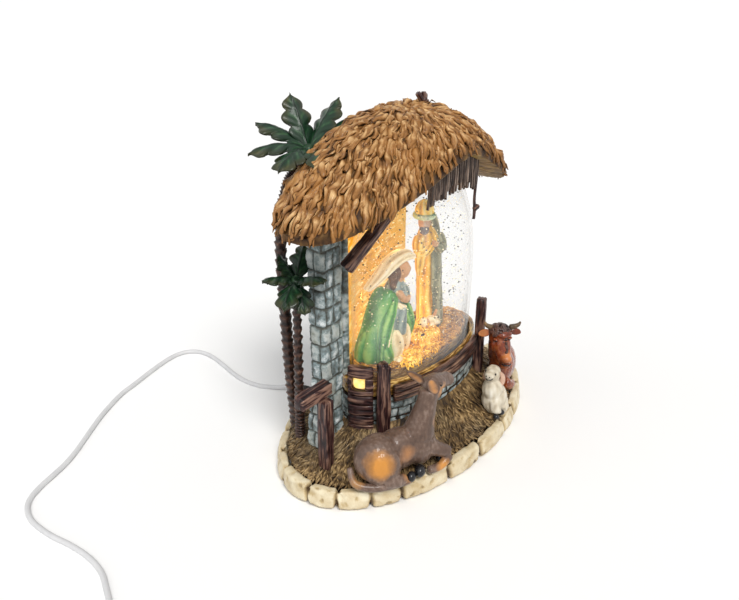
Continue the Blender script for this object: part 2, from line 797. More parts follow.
def board_parts():
    """The circuit board on its standoffs, with a timer chip and a capacitor standing on it."""
    board = box(
        "circuit_board", (BOARD_LENGTH, BOARD_WIDTH, BOARD_THICK),
        (BOARD_X, 0, BOARD_Z + BOARD_THICK / 2), BOARD,
    )
    top = BOARD_Z + BOARD_THICK
    chip = box("chip", (0.010, 0.007, 0.004), (BOARD_X - 0.004, 0.003, top + 0.001), BOARD)
    capacitor = disc("capacitor", BOARD_X + 0.012, -0.006, top - 0.001, top + 0.008, 0.003, BOARD, 12)
    join(board, chip, capacitor)


def feet_and_screws():
    """Four rubber feet and four cover screws."""
    names = ("left_front", "left_rear", "right_front", "right_rear")
    for name, (x, y) in zip(names, corner_places(FOOT_INSET, FOOT_ANGLE)):
        disc(f"foot_{name}", x, y, 0.0, FOOT_THICK, FOOT_RADIUS, RUBBER)
    for name, (x, y) in zip(names, screw_places()):
        head_low = COVER_BOTTOM_Z + GAP
        screw = disc(f"screw_{name}", x, y, head_low, screw_seat_z() - GAP, SCREW_HEAD_RADIUS, STEEL, 16)
        shank = disc("shank", x, y, head_low + GAP, screw_top() - GAP, SCREW_SHANK_RADIUS, STEEL, 10)
        join(screw, shank)


# Tank and what drives it

def tank_parts():
    """The clear dome, the plug that closes it from below and the gasket between them."""
    outer = tank_rings(0.0, TANK_FOOT_Z)
    inner = tank_rings(-TANK_WALL, TANK_FOOT_Z)
    dome = loft("tank_dome", outer, CLEAR)
    hollow = loft("hollow", [oval(*foot_inner(), TANK_FOOT_Z - 0.01, facets=TANK_FACETS)] + inner, None)
    cut(dome, hollow)
    flange_x = TANK_LENGTH / 2 * TANK_FOOT_SHARE + FLANGE_REACH
    flange_y = TANK_DEPTH / 2 * TANK_FOOT_SHARE + FLANGE_REACH
    plug = oval_plate("tank_plug", flange_x, flange_y, FLANGE_BOTTOM_Z, FLANGE_TOP_Z, CLEAR)
    plug_x, plug_y = (side - GASKET_THICK - 3 * GAP for side in foot_inner())
    core = oval_plate("core", plug_x, plug_y, FLANGE_BOTTOM_Z + 0.001, CHAMBER_TOP_Z, CLEAR)
    join(plug, core)
    chamber = oval_plate(
        "chamber", plug_x - CHAMBER_WALL, plug_y - CHAMBER_WALL, CHAMBER_FLOOR_Z, CHAMBER_TOP_Z + 0.01, None
    )
    cut(plug, chamber)
    pivot_top = CHAMBER_FLOOR_Z + GAP + IMPELLER_HEIGHT + 0.0008
    pivot = disc("pivot", DRIVE_X, 0, CHAMBER_FLOOR_Z - 0.001, pivot_top, PIVOT_RADIUS, CLEAR, 12)
    join(plug, pivot)
    gasket_low = TANK_FOOT_Z + GAP
    rings = []
    for half_share, z in ((1, gasket_low), (1, gasket_low + GASKET_HEIGHT), (0, gasket_low + GASKET_HEIGHT), (0, gasket_low)):
        reach = GAP + GASKET_THICK * half_share
        rings.append(oval(plug_x + reach, plug_y + reach, z, facets=GROUND_FACETS))
    loft("tank_gasket", rings, RUBBER, closed=True)
    straw_x = foot_inner()[0] - 2 * GAP
    straw_y = foot_inner()[1] - 2 * GAP
    rings = [
        oval(straw_x, straw_y, STRAW_BOTTOM_Z),
        oval(straw_x, straw_y, STRAW_TOP_Z - STRAW_FLOOR_RISE),
        oval(0.9 * straw_x, 0.85 * straw_y, STRAW_TOP_Z),
    ]
    straw = loft("straw_floor", rings, STRAW)
    for degrees in range(30, 360, 60):
        x, y = oval_point(0.80 * straw_x, 0.74 * straw_y, degrees)
        cut(straw, disc("water_hole", x, y, 0.0, 0.2, 0.0022, None, 10))


def foot_inner():
    """The inner half length and half depth of the tank's foot."""
    return (
        TANK_LENGTH / 2 * TANK_FOOT_SHARE - TANK_WALL,
        TANK_DEPTH / 2 * TANK_FOOT_SHARE - TANK_WALL,
    )


def drive_parts():
    """Bracket, motor, magnet rotor and the impeller that follows it through the plug."""
    bracket_x = PLINTH_HALF_X - GROUND_WALL - 0.004
    bracket_y = PLINTH_HALF_Y - GROUND_WALL - 0.003
    bracket = oval_plate("drive_bracket", bracket_x, bracket_y, BRACKET_BOTTOM_Z, BRACKET_TOP_Z, BLACK)
    cut(bracket, disc("shaft_hole", DRIVE_X, 0, 0.0, 0.2, SHAFT_RADIUS + 0.0012, None, 12))
    cut(bracket, disc("lens_hole", LAMP_X, 0, 0.0, 0.2, LENS_RADIUS + GAP, None, 24))
    motor_top = BRACKET_BOTTOM_Z - GAP
    motor_low = motor_top - MOTOR_HEIGHT
    motor = disc("motor", DRIVE_X, 0, motor_low, motor_top, MOTOR_RADIUS, STEEL)
    shaft_low = motor_top - 0.008
    cut(motor, disc("bearing", DRIVE_X, 0, shaft_low, 0.2, SHAFT_RADIUS + GAP, None, 12))
    magnet_low = BRACKET_TOP_Z + RUNNING
    magnet = disc("drive_magnet", DRIVE_X, 0, magnet_low, magnet_low + MAGNET_THICK, MAGNET_RADIUS, MAGNET)
    shaft = disc("shaft", DRIVE_X, 0, shaft_low + GAP, magnet_low + 0.001, SHAFT_RADIUS, MAGNET, 12)
    join(magnet, shaft)
    low = CHAMBER_FLOOR_Z + GAP
    high = low + IMPELLER_HEIGHT
    impeller = disc("impeller", DRIVE_X, 0, low, high, 0.0042, BLACK, 16)
    for i in range(IMPELLER_BLADES):
        turn = math.pi * i / IMPELLER_BLADES
        blade = box(
            "blade", (2 * IMPELLER_RADIUS, 0.0012, IMPELLER_HEIGHT - 0.0004),
            (DRIVE_X, 0, (low + high) / 2), BLACK, turn,
        )
        join(impeller, blade)
    cut(impeller, disc("pivot_hole", DRIVE_X, 0, 0.0, 0.2, PIVOT_RADIUS + GAP, None, 12))


def lamp_parts():
    """The lamp's board under the bracket and its lens through it."""
    board_top = BRACKET_BOTTOM_Z - GAP
    disc("lamp_board", LAMP_X, 0, board_top - LAMP_BOARD_THICK, board_top, LAMP_BOARD_RADIUS, STEEL)
    lens_low = board_top + GAP
    outline = ((0.0, 1.0), (0.4, 1.0), (0.72, 0.84), (0.92, 0.5), (1.0, 0.12))
    rings = []
    for height, share in outline:
        reach = LENS_RADIUS * share
        rings.append(oval(reach, reach, lens_low + LENS_HEIGHT * height, LAMP_X, 16))
    loft("lamp_lens", rings, LENS)


# Timber and stone round the tank

def curved_board(name, start, end, low, high, thick, material, steps=12):
    """A board that follows the sill's outline between two angles, standing off it by the clearance."""
    rings = []
    inner_x, inner_y = PLINTH_HALF_X + 2 * GAP, PLINTH_HALF_Y + 2 * GAP
    for i in range(steps + 1):
        degrees = start + (end - start) * i / steps
        near = oval_point(inner_x, inner_y, degrees)
        far = oval_point(inner_x + thick, inner_y + thick, degrees)
        rings.append([(*near, low), (*far, low), (*far, high), (*near, high)])
    return loft(name, rings, material)


def sill_ring():
    """The sill: a ring that covers the flange and closes on the tank with a sloping lip."""
    flange_x = TANK_LENGTH / 2 * TANK_FOOT_SHARE + FLANGE_REACH + GAP
    flange_y = TANK_DEPTH / 2 * TANK_FOOT_SHARE + FLANGE_REACH + GAP
    share = tank_share(SILL_TOP_Z)
    lip_x = TANK_LENGTH / 2 * share + 2 * GAP
    lip_y = TANK_DEPTH / 2 * share + 2 * GAP
    step_z = FLANGE_TOP_Z + GAP
    rings = [
        oval(PLINTH_HALF_X, PLINTH_HALF_Y, FLANGE_BOTTOM_Z),
        oval(PLINTH_HALF_X, PLINTH_HALF_Y, SILL_TOP_Z - 0.002),
        oval(PLINTH_HALF_X - 0.0012, PLINTH_HALF_Y - 0.0008, SILL_TOP_Z),
        oval(lip_x, lip_y, SILL_TOP_Z - 0.0015),
        oval(lip_x, lip_y, step_z),
        oval(flange_x, flange_y, step_z),
        oval(flange_x, flange_y, FLANGE_BOTTOM_Z),
    ]
    return loft("sill_ring", rings, SILL, closed=True)


def post(name, degrees, side, top, ground):
    """A square post just outside the sill, standing on the ground."""
    reach = GAP + side / 2 + 0.0012
    x, y = oval_point(PLINTH_HALF_X + reach, PLINTH_HALF_Y + reach, degrees)
    turn = math.radians(degrees)
    slope = math.atan2(PLINTH_HALF_X * math.sin(turn), PLINTH_HALF_Y * math.cos(turn))
    obj = box(name, (side, side, top), (x, y, top / 2), TIMBER, slope)
    return cut(obj, ground, keep=True)


def timber_parts(ground):
    """Rail, fence panel with its window, posts, and the short rail at the left end."""
    curved_board("curved_rail", RAIL_START, RAIL_END, RAIL_TOP_Z - RAIL_HEIGHT, RAIL_TOP_Z, RAIL_THICK, TIMBER)
    panel = curved_board("fence_panel", FENCE_START, FENCE_END, 0.0, FENCE_TOP_Z, FENCE_THICK, TIMBER, 6)
    cut(panel, ground, keep=True)
    middle = (FENCE_START + FENCE_END) / 2 - 1.0
    x, y = oval_point(PLINTH_HALF_X + FENCE_THICK / 2, PLINTH_HALF_Y + FENCE_THICK / 2, middle)
    turn = math.radians(middle)
    slope = math.atan2(PLINTH_HALF_X * math.sin(turn), PLINTH_HALF_Y * math.cos(turn))
    window = box("window", (0.02, FENCE_WINDOW_WIDTH, FENCE_WINDOW_HEIGHT), (x, y, FENCE_WINDOW_Z + 0.004), None, slope)
    cut(panel, window)
    post("near_post", NEAR_POST_ANGLE, POST_SIDE, NEAR_POST_TOP_Z, ground)
    post("far_post", FAR_POST_ANGLE, FAR_POST_SIDE, FAR_POST_TOP_Z, ground)
    rail_end = PILLAR_LEFT_X - GAP
    rail_bottom = END_RAIL_TOP_Z - END_RAIL_HEIGHT
    rail_y = (PILLAR_FRONT_Y + END_POST_Y) / 2 + 0.001
    box(
        "end_rail", (END_RAIL_LENGTH, END_RAIL_WIDTH, END_RAIL_HEIGHT),
        (rail_end - END_RAIL_LENGTH / 2, rail_y, rail_bottom + END_RAIL_HEIGHT / 2), TIMBER,
    )
    top = rail_bottom - GAP
    end_post = box("end_post", (END_POST_SIDE, END_POST_SIDE, top), (END_POST_X, END_POST_Y, top / 2), TIMBER)
    cut(end_post, ground, keep=True)


def stone_parts(ground, roof):
    """The pillar at the left end and the wall behind the tank."""
    top = ceiling_z(PILLAR_RIGHT_X, PILLAR_BACK_Y) + ROOF_OVERLAP
    rings = []
    flare_top = END_RAIL_TOP_Z - END_RAIL_HEIGHT - 0.003
    for z, flare in ((0.0, PILLAR_FLARE), (0.7 * flare_top, 0.6 * PILLAR_FLARE), (flare_top, 0.0), (top, 0.0)):
        left = PILLAR_LEFT_X - flare
        rings.append(
            [
                (left, PILLAR_FRONT_Y, z),
                (PILLAR_RIGHT_X, PILLAR_FRONT_Y, z),
                (PILLAR_RIGHT_X, PILLAR_BACK_Y, z),
                (left, PILLAR_BACK_Y, z),
            ]
        )
    pillar = loft("stone_pillar", rings, STONE)
    cut(pillar, ground, keep=True)
    cut(pillar, roof, keep=True)
    clearance = 0.0015
    rings = []
    steps = 16
    for i in range(steps + 1):
        degrees = WALL_START + (WALL_END - WALL_START) * i / steps
        reach = clearance
        near = oval_point(TANK_LENGTH / 2 + reach, TANK_DEPTH / 2 + reach, degrees)
        far = oval_point(TANK_LENGTH / 2 + reach + WALL_THICK, TANK_DEPTH / 2 + reach + WALL_THICK, degrees)
        top = ceiling_z(*near) + ROOF_OVERLAP
        low = SILL_TOP_Z + GAP
        rings.append([(*near, low), (*far, low), (*far, top), (*near, top)])
    cut(loft("back_wall", rings, STONE), roof, keep=True)


# Roof

def roof_ring(stations, height, offset):
    """One ring of the roof, from each facet's share of the way out and its rise over a surface."""
    ring = []
    for i, (share, rise) in enumerate(stations):
        a = 2 * math.pi * i / ROOF_FACETS
        cosine, sine = math.cos(a), math.sin(a)
        x = ROOF_X + share * ROOF_HALF_LENGTH * math.copysign(abs(cosine) ** (2 / ROOF_POWER), cosine)
        y = share * ROOF_HALF_DEPTH * math.copysign(abs(sine) ** (2 / ROOF_POWER), sine)
        aside = abs(offset) * share
        spot = (x + math.copysign(aside, cosine), y + math.copysign(aside, sine))
        ring.append((*spot, height(x, y) + rise + offset))
    return ring


def tuft_rings(offset):
    """Rings of the thatch from the eave up to its middle: each tier's staggered tips stand over the tier below."""
    swings = [math.cos(math.pi * i) for i in range(ROOF_FACETS)]
    rings = [roof_ring([(1.0, TUFT_RISE)] * ROOF_FACETS, thatch_z, offset)]
    for tier, reach in enumerate(TUFT_TIERS):
        side = (-1) ** tier
        foot = [(reach + TUFT_FOOT + side * TUFT_STAGGER * swing, 0.0) for swing in swings]
        tips = [(reach + side * TUFT_STAGGER * swing, TUFT_RISE) for swing in swings]
        rings += [roof_ring(foot, thatch_z, offset), roof_ring(tips, thatch_z, offset)]
    rings.append(roof_ring([(0.10, 0.0)] * ROOF_FACETS, thatch_z, offset))
    return rings


def roof_rings(offset):
    """Rings from the middle of the underside round the eaves to the middle of the top, moved outwards by offset."""
    lower = [roof_ring([(share, 0.0)] * ROOF_FACETS, ceiling_z, -offset) for share in (0.12, 0.36, 0.60, 0.80, 0.93)]
    fringe = [(1.0, -EAVE_FRINGE * (i % 2)) for i in range(ROOF_FACETS)]
    return lower + [roof_ring(fringe, ceiling_z, -offset)] + tuft_rings(offset)


def thatch_roof():
    """The thatch: a thick cap on a rounded plan, with a socket for the top of the tank."""
    roof = loft("thatch_roof", roof_rings(0.0), THATCH)
    socket = loft("socket", tank_rings(2 * GAP, TANK_FOOT_Z), None)
    return cut(roof, socket)


def roof_cutter():
    """The space that the thatch fills, with the clearance, to trim what reaches up to it."""
    return as_cutter(loft("roof_space", roof_rings(1.7 * GAP), None))


def gable_planks(roof):
    """The ragged vertical planks under the front edge of the thatch."""
    width = (PLANK_RIGHT_X - PLANK_LEFT_X) / PLANK_COUNT
    front, back = PLANK_Y - PLANK_THICK / 2, PLANK_Y + PLANK_THICK / 2
    rings = []
    for i in range(PLANK_COUNT):
        low = EAVE_PEAK_Z - PLANK_DROP - 0.004 * (1 + math.sin(2.1 * i)) / 2
        low -= 0.0015 * abs(i - PLANK_COUNT / 2) / 2
        proud = 0.0006 * (i % 2)
        for x in (PLANK_LEFT_X + i * width, PLANK_LEFT_X + (i + 0.86) * width):
            top = ceiling_z(x, back) + ROOF_OVERLAP
            rings.append([(x, front - proud, low), (x, back, low), (x, back, top), (x, front - proud, top)])
    return cut(loft("gable_planks", rings, TIMBER), roof, keep=True)


def roof_details(roof):
    """The brace from the pillar to the roof, the finial of two crossed timbers and the hanging twig."""
    foot_x = PILLAR_RIGHT_X - 0.0058
    foot = (foot_x, PILLAR_FRONT_Y - GAP - BRACE_RADIUS_LOW - 0.0002, BRACE_FOOT_Z)
    head_x, head_y = foot_x + 0.0430, -0.0230
    head = (head_x, head_y, ceiling_z(head_x, head_y) + ROOF_OVERLAP)
    cut(bar("roof_brace", foot, head, BRACE_RADIUS_LOW, BRACE_RADIUS_HIGH, TIMBER, 10), roof, keep=True)
    crown = thatch_z(FINIAL_X, 0.0)
    finial = box("ridge_finial", (0.007, 0.007, 0.004), (FINIAL_X, 0.0, crown + 0.0010), TIMBER)
    for side in (-1, 1):
        low = (FINIAL_X - side * 0.0024, -side * 0.0007, crown + 0.0015)
        high = (FINIAL_X + side * 0.0034, side * 0.0011, crown + FINIAL_HEIGHT - 0.0008 * side)
        radius = FINIAL_RADIUS * (1.0 + 0.06 * side)
        join(finial, bar("timber", low, high, radius, radius * 0.8, TIMBER, 9))
    cut(finial, roof, keep=True)
    twig_x = TANK_X + TWIG_SHARE_X * TANK_LENGTH / 2
    twig_y = -TWIG_SHARE_Y * TANK_DEPTH / 2
    top = ceiling_z(twig_x, twig_y) + ROOF_OVERLAP
    twig = bar("hanging_twig", (twig_x, twig_y, top - TWIG_LENGTH), (twig_x, twig_y, top), TWIG_RADIUS, TWIG_RADIUS * 1.3, TIMBER, 8)
    knob = bar(
        "knob", (twig_x + 0.0004, twig_y, top - TWIG_LENGTH + 0.007), (twig_x + 0.0045, twig_y - 0.001, top - TWIG_LENGTH + 0.009),
        0.0022, 0.0018, TIMBER, 8,
    )
    join(twig, knob)
    cut(twig, roof, keep=True)


# Palms

def palm_trunk(name, axis, radius, ground):
    """A ringed trunk along a bowed axis, thinner towards its crown."""
    centres = smooth_route([Vector(point) for point in axis], TRUNK_RING_PITCH / 2)
    rings = []
    for i, centre in enumerate(centres):
        t = i / (len(centres) - 1)
        swell = radius * ((1.12 if i % 2 else 0.92) - 0.18 * t)
        angles = [2 * math.pi * j / TRUNK_FACETS for j in range(TRUNK_FACETS)]
        rings.append([(centre.x + swell * math.cos(a), centre.y + swell * math.sin(a), centre.z) for a in angles])
    trunk = loft(name, rings, TRUNK)
    return cut(trunk, ground, keep=True)


def palm_leaf(name, root, heading, reach, rise, arch, breadth):
    """One broad leaf: a folded blade that arches from its root and ends in a blunt tip."""
    widths = (0.25, 0.75, 1.0, 0.95, 0.70, 0.22)
    side = Vector((-math.sin(heading), math.cos(heading), 0))
    out = Vector((math.cos(heading), math.sin(heading), 0))
    rings = []
    for i, width in enumerate(widths):
        t = i / (len(widths) - 1)
        centre = Vector(root) + out * reach * t + Vector((0, 0, rise * t + 4 * arch * t * (1 - t)))
        half = breadth / 2 * width
        thick = LEAF_THICK * (1.0 - 0.4 * t)
        fold = Vector((0, 0, 0.25 * half))
        low = centre - Vector((0, 0, thick))
        high = centre + Vector((0, 0, thick / 2))
        rings.append([centre - side * half - fold, low, centre + side * half - fold, high])
    return loft(name, rings, LEAF)


def palm_crown(name, centre, breadth, leaves):
    """A crown of leaves round a bud on the trunk's top. Each leaf has a heading in degrees, its reach and its rise."""
    centre = Vector(centre)
    bud_low = centre + Vector((0, 0, GAP + 0.0006))
    forms = [bar("bud", bud_low, centre + Vector((0, 0, 0.0080)), BUD_RADIUS, BUD_RADIUS * 0.6, None, 12)]
    for degrees, reach, rise in leaves:
        root = centre + Vector((0, 0, 0.0035))
        arch = LEAF_ARCH * reach / 0.030
        forms.append(palm_leaf("leaf", root, math.radians(degrees), reach, rise, arch, breadth))
    return sculpt(name, forms, LEAF, 0.0005, 70 * len(leaves))


def palms(ground, roof):
    """Both palms."""
    trunk = palm_trunk("tall_palm_trunk", TALL_PALM_AXIS, TRUNK_RADIUS, ground)
    cut(trunk, roof, keep=True)
    tall_leaves = (
        (72, 0.022, 0.033),
        (350, 0.027, 0.030),
        (326, 0.034, 0.019),
        (275, 0.049, 0.008),
        (238, 0.045, -0.005),
        (193, 0.039, -0.005),
        (150, 0.040, 0.001),
        (112, 0.036, 0.015),
        (44, 0.034, 0.006),
    )
    crown = palm_crown("tall_palm_crown", TALL_PALM_AXIS[-1], TALL_LEAF_WIDTH, tall_leaves)
    fill_hollows(cut(crown, roof, keep=True))
    palm_trunk("short_palm_trunk", SHORT_PALM_AXIS, SHORT_TRUNK_RADIUS, ground)
    short_leaves = (
        (26, 0.024, 0.018),
        (110, 0.012, 0.018),
        (160, 0.024, 0.006),
        (207, 0.030, -0.007),
        (240, 0.017, -0.016),
        (262, 0.028, 0.008),
    )
    palm_crown("short_palm_crown", SHORT_PALM_AXIS[-1], SHORT_LEAF_WIDTH, short_leaves)


# Figures and animals

def ellipsoid(centre, radii, turn=(0, 0, 0)):
    """An ellipsoid turned by Euler angles in degrees."""
    shape = bmesh.new()
    bmesh.ops.create_uvsphere(shape, u_segments=16, v_segments=10, radius=1.0)
    rotation = Matrix.Rotation(math.radians(turn[2]), 4, "Z")
    rotation = rotation @ Matrix.Rotation(math.radians(turn[1]), 4, "Y") @ Matrix.Rotation(math.radians(turn[0]), 4, "X")
    place = Matrix.Translation(centre) @ rotation @ Matrix.Diagonal((*radii, 1.0))
    bmesh.ops.transform(shape, matrix=place, verts=shape.verts)
    return from_bmesh("form", shape, None)


def limb(start, end, radius, end_radius):
    """A rounded limb: a cone with a ball at each end."""
    cone = bar("form", start, end, radius, end_radius, None, 12)
    return [cone, ellipsoid(start, (radius,) * 3), ellipsoid(end, (end_radius,) * 3)]


def sculpt(name, forms, material, voxel, faces):
    """Melts overlapping forms into one smooth skin with about the given number of triangles."""
    mesh = bpy.data.meshes.new(name)
    shape = bmesh.new()
    for form in forms:
        shape.from_mesh(form.data)
        bpy.data.objects.remove(form, do_unlink=True)
    shape.to_mesh(mesh)
    shape.free()
    obj = add(name, mesh, material)
    remesh = obj.modifiers.new("skin", "REMESH")
    remesh.mode = "VOXEL"
    remesh.voxel_size = voxel
    relax = obj.modifiers.new("relax", "SMOOTH")
    relax.factor = 0.5
    relax.iterations = 3
    bake(obj)
    fill_hollows(obj)
    triangles = sum(len(face.vertices) - 2 for face in obj.data.polygons)
    thin = obj.modifiers.new("thin", "DECIMATE")
    thin.ratio = min(1.0, faces / triangles)
    bake(obj)
    obj.data.materials.clear()
    obj.data.materials.append(material)
    return smooth(obj, 60)


def donkey(ground):
    """The donkey lying at the front left, its head turned to the window."""
    rump, chest, head = (-0.0930, -0.0400, 0.0320), (-0.0620, -0.0545, 0.0340), (-0.0600, -0.0570, 0.0840)
    forms = [
        ellipsoid(rump, (0.0185, 0.0150, 0.0160), (0, 0, -25)),
        ellipsoid((-0.0780, -0.0480, 0.0330), (0.0210, 0.0130, 0.0135), (0, 0, -25)),
        ellipsoid(chest, (0.0150, 0.0130, 0.0155)),
        *limb((-0.0620, -0.0540, 0.0420), (-0.0600, -0.0570, 0.0770), 0.0125, 0.0080),
        ellipsoid(head, (0.0105, 0.0080, 0.0085), (0, 15, 15)),
        *limb(head, (-0.0440, -0.0545, 0.0780), 0.0070, 0.0052),
        *limb((-0.0660, -0.0545, 0.0880), (-0.0740, -0.0500, 0.0975), 0.0026, 0.0014),
        *limb((-0.0655, -0.0620, 0.0880), (-0.0700, -0.0690, 0.0960), 0.0026, 0.0014),
        *limb((-0.0560, -0.0610, 0.0250), (-0.0440, -0.0585, 0.0210), 0.0055, 0.0042),
        *limb((-0.0440, -0.0585, 0.0210), (-0.0600, -0.0660, 0.0200), 0.0042, 0.0036),
        *limb((-0.0860, -0.0530, 0.0220), (-0.0660, -0.0650, 0.0200), 0.0055, 0.0036),
        *limb((-0.1080, -0.0420, 0.0240), (-0.0930, -0.0580, 0.0200), 0.0026, 0.0026),
        *limb((-0.0930, -0.0580, 0.0200), (-0.0760, -0.0630, 0.0190), 0.0026, 0.0030),
    ]
    return cut(sculpt("donkey", forms, DONKEY, 0.0011, 640), ground, keep=True)


def sheep(ground):
    """The sheep sitting at the front right, looking up."""
    forms = [
        ellipsoid((0.0320, -0.0590, 0.0290), (0.0115, 0.0092, 0.0145)),
        ellipsoid((0.0300, -0.0590, 0.0400), (0.0088, 0.0080, 0.0110)),
        ellipsoid((0.0280, -0.0585, 0.0520), (0.0066, 0.0056, 0.0060)),
        *limb((0.0260, -0.0590, 0.0530), (0.0200, -0.0605, 0.0535), 0.0042, 0.0030),
        *limb((0.0310, -0.0630, 0.0520), (0.0325, -0.0655, 0.0465), 0.0018, 0.0022),
        *limb((0.0260, -0.0630, 0.0330), (0.0240, -0.0650, 0.0200), 0.0036, 0.0032),
        *limb((0.0360, -0.0620, 0.0240), (0.0400, -0.0640, 0.0190), 0.0044, 0.0030),
    ]
    return cut(sculpt("sheep", forms, WOOL, 0.0010, 400), ground, keep=True)


def ox(ground):
    """The ox lying at the front right, behind the sheep."""
    head = (0.0520, -0.0520, 0.0690)
    forms = [
        ellipsoid((0.0800, -0.0430, 0.0320), (0.0230, 0.0105, 0.0150), (0, 0, 22)),
        ellipsoid((0.0620, -0.0500, 0.0400), (0.0130, 0.0095, 0.0150)),
        *limb((0.0600, -0.0500, 0.0470), head, 0.0095, 0.0085),
        ellipsoid(head, (0.0080, 0.0085, 0.0095)),
        *limb(head, (0.0460, -0.0600, 0.0560), 0.0070, 0.0052),
        ellipsoid((0.0530, -0.0510, 0.0770), (0.0070, 0.0080, 0.0045)),
        *limb((0.0470, -0.0465, 0.0760), (0.0440, -0.0430, 0.0785), 0.0022, 0.0014),
        *limb((0.0580, -0.0565, 0.0760), (0.0610, -0.0590, 0.0800), 0.0022, 0.0014),
        *limb((0.0460, -0.0475, 0.0700), (0.0420, -0.0450, 0.0690), 0.0026, 0.0020),
        *limb((0.0590, -0.0575, 0.0690), (0.0625, -0.0600, 0.0680), 0.0026, 0.0020),
        *limb((0.0560, -0.0560, 0.0240), (0.0700, -0.0560, 0.0210), 0.0050, 0.0038),
    ]
    return cut(sculpt("ox", forms, OX, 0.0011, 520), ground, keep=True)


def floor_cutter():
    """The space under the figures: the straw floor with the clearance."""
    return as_cutter(box("floor_space", (0.2, 0.2, STRAW_TOP_Z + GAP), (0, 0, (STRAW_TOP_Z + GAP) / 2), None))


def figures():
    """The kneeling woman, the standing man and the manger with the child, on the straw floor."""
    floor = floor_cutter()
    base = STRAW_TOP_Z
    woman = [
        ellipsoid((-0.0370, 0.0040, base + 0.0090), (0.0200, 0.0150, 0.0130)),
        *limb((-0.0380, 0.0040, base + 0.0080), (-0.0250, 0.0000, base + 0.0460), 0.0150, 0.0085),
        *limb((-0.0200, -0.0030, base + 0.0020), (-0.0220, -0.0010, base + 0.0240), 0.0090, 0.0080),
        ellipsoid((-0.0235, -0.0010, base + 0.0470), (0.0085, 0.0105, 0.0095)),
        ellipsoid((-0.0155, -0.0025, base + 0.0665), (0.0064, 0.0060, 0.0078)),
        ellipsoid((-0.0190, -0.0020, base + 0.0675), (0.0084, 0.0080, 0.0094)),
        *limb((-0.0215, -0.0010, base + 0.0660), (-0.0340, 0.0030, base + 0.0460), 0.0080, 0.0085),
        *limb((-0.0235, -0.0090, base + 0.0460), (-0.0110, -0.0050, base + 0.0360), 0.0040, 0.0028),
        *limb((-0.0235, 0.0080, base + 0.0460), (-0.0110, 0.0000, base + 0.0360), 0.0040, 0.0028),
    ]
    cut(sculpt("kneeling_woman", woman, GREEN_ROBE, 0.0010, 420), floor, keep=True)
    man = [
        *limb((0.0310, 0.0050, base + 0.0020), (0.0305, 0.0050, base + 0.0560), 0.0125, 0.0085),
        ellipsoid((0.0305, 0.0050, base + 0.0680), (0.0085, 0.0105, 0.0130)),
        ellipsoid((0.0285, 0.0045, base + 0.0870), (0.0062, 0.0058, 0.0078)),
        ellipsoid((0.0300, 0.0050, base + 0.0900), (0.0074, 0.0072, 0.0070)),
        *limb((0.0270, -0.0050, base + 0.0740), (0.0170, -0.0060, base + 0.0560), 0.0042, 0.0032),
        *limb((0.0290, 0.0140, base + 0.0740), (0.0190, 0.0060, base + 0.0560), 0.0042, 0.0032),
    ]
    cut(sculpt("standing_man", man, GOLD_ROBE, 0.0010, 400), floor, keep=True)
    trough_low = base + GAP
    trough_high = base + 0.0100
    centre_x, centre_y = 0.0060, -0.0090
    rings = []
    for z, half_x, half_y in ((trough_low, 0.0070, 0.0045), (trough_high, 0.0100, 0.0065)):
        rings.append(
            [
                (centre_x - half_x, centre_y - half_y, z),
                (centre_x + half_x, centre_y - half_y, z),
                (centre_x + half_x, centre_y + half_y, z),
                (centre_x - half_x, centre_y + half_y, z),
            ]
        )
    manger = loft("manger", rings, TIMBER)
    cut(manger, box("hollow", (0.0150, 0.0086, 0.0100), (centre_x, centre_y, trough_high + 0.0010), None))
    child = [
        ellipsoid((centre_x + 0.0004, centre_y, trough_high + 0.0014), (0.0060, 0.0030, 0.0026)),
        ellipsoid((centre_x - 0.0050, centre_y, trough_high + 0.0030), (0.0026, 0.0026, 0.0028)),
    ]
    bed = ellipsoid((centre_x, centre_y, trough_high - 0.0008), (0.0068, 0.0036, 0.0026))
    sculpt("child_on_straw", child + [bed], SWADDLING, 0.0006, 180)


# Cord

def smooth_route(points, spacing):
    """Points at an even spacing on a smooth curve through the given ones."""
    fine = []
    padded = [points[0]] + list(points) + [points[-1]]
    for before, start, end, after in zip(padded, padded[1:], padded[2:], padded[3:]):
        for step in range(12):
            t = step / 12
            point = 2 * start + (end - before) * t
            point += (2 * before - 5 * start + 4 * end - after) * t * t
            point += (3 * start - before - 3 * end + after) * t**3
            fine.append(point / 2)
    fine.append(points[-1])
    total = sum((b - a).length for a, b in zip(fine, fine[1:]))
    count = max(2, round(total / spacing))
    result = [fine[0]]
    walked, target = 0.0, total / count
    for a, b in zip(fine, fine[1:]):
        length = (b - a).length
        while walked + length >= target - 1e-9 and len(result) < count:
            result.append(a.lerp(b, (target - walked) / length))
            target += total / count
        walked += length
    result.append(fine[-1])
    return result


def tube(name, points, resolution):
    """A cord along the points."""
    curve = bpy.data.curves.new(name, "CURVE")
    curve.dimensions = "3D"
    curve.bevel_depth = CORD_DIAMETER / 2
    curve.bevel_resolution = resolution
    curve.use_fill_caps = True
    spline = curve.splines.new("POLY")
    spline.points.add(len(points) - 1)
    for place, point in zip(spline.points, points):
        place.co = (*point, 1.0)
    curve.materials.append(CORD)
    obj = bpy.data.objects.new(name, curve)
    PARTS.objects.link(obj)
    return obj


def path_length(points):
    """The length of a polyline."""
    return sum((b - a).length for a, b in zip(points, points[1:]))


def gland_face_y():
    """The outer face of the border at the gland."""
    return BASE_DEPTH / 2 * math.sqrt(1 - (GLAND_X / (BASE_LENGTH / 2)) ** 2)


def relief_tip_y():
    """The end of the strain relief, where the cord leaves it."""
    return gland_face_y() + GLAND_REACH + RELIEF_LENGTH


